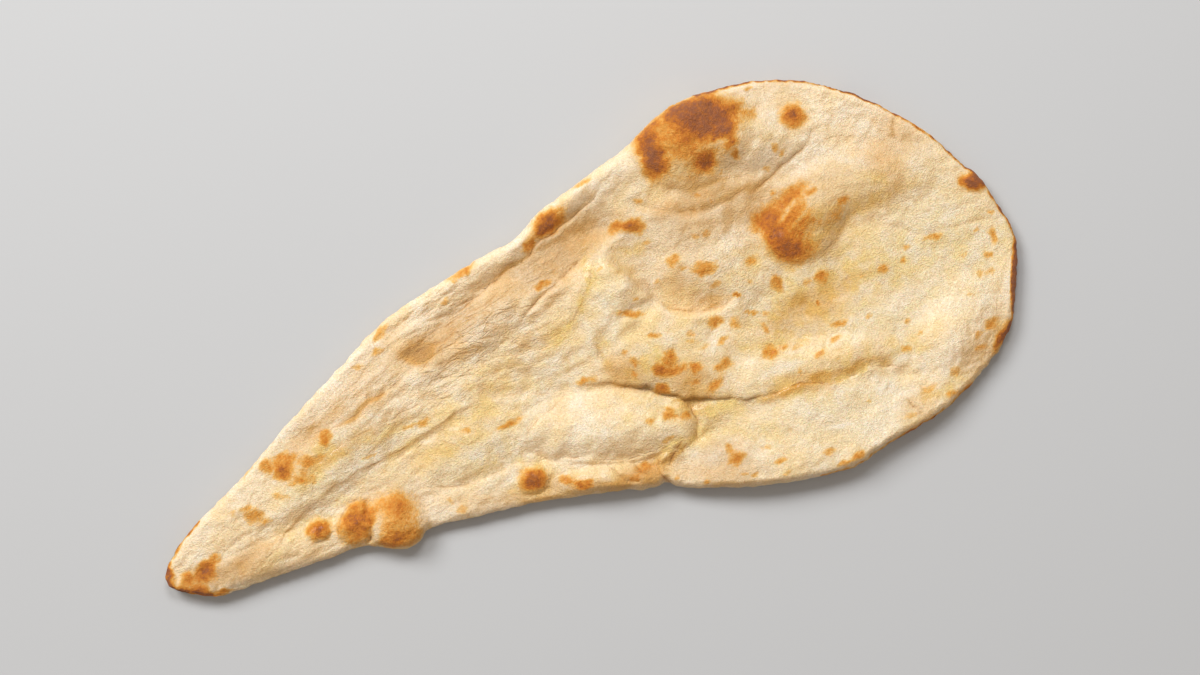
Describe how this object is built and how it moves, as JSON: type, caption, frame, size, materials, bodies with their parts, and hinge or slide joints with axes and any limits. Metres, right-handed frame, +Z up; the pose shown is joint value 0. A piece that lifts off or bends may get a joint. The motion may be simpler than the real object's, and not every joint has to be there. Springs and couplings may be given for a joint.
{
  "type": "naan bread",
  "caption": "Long leaf-shaped flatbread with a narrow tail, a rounded head, puffed blisters, a lapped fold and a rolled rim.",
  "frame": {"origin": "middle of the bread's footprint, on the surface that it lies on", "axes": "+X runs along the bread from the narrow tail to the round head, +Y points across it towards the edge with the big blister, +Z is up, from the underside to the blistered top"},
  "size_m": [0.4188, 0.1846, 0.0221],
  "materials": {
    "baked_crust": "pale baked bread crust with golden to dark brown scorch spots, brushed with butter"
  },
  "bodies": {
    "root": {"naan": "baked_crust"}
  },
  "joints": []
}
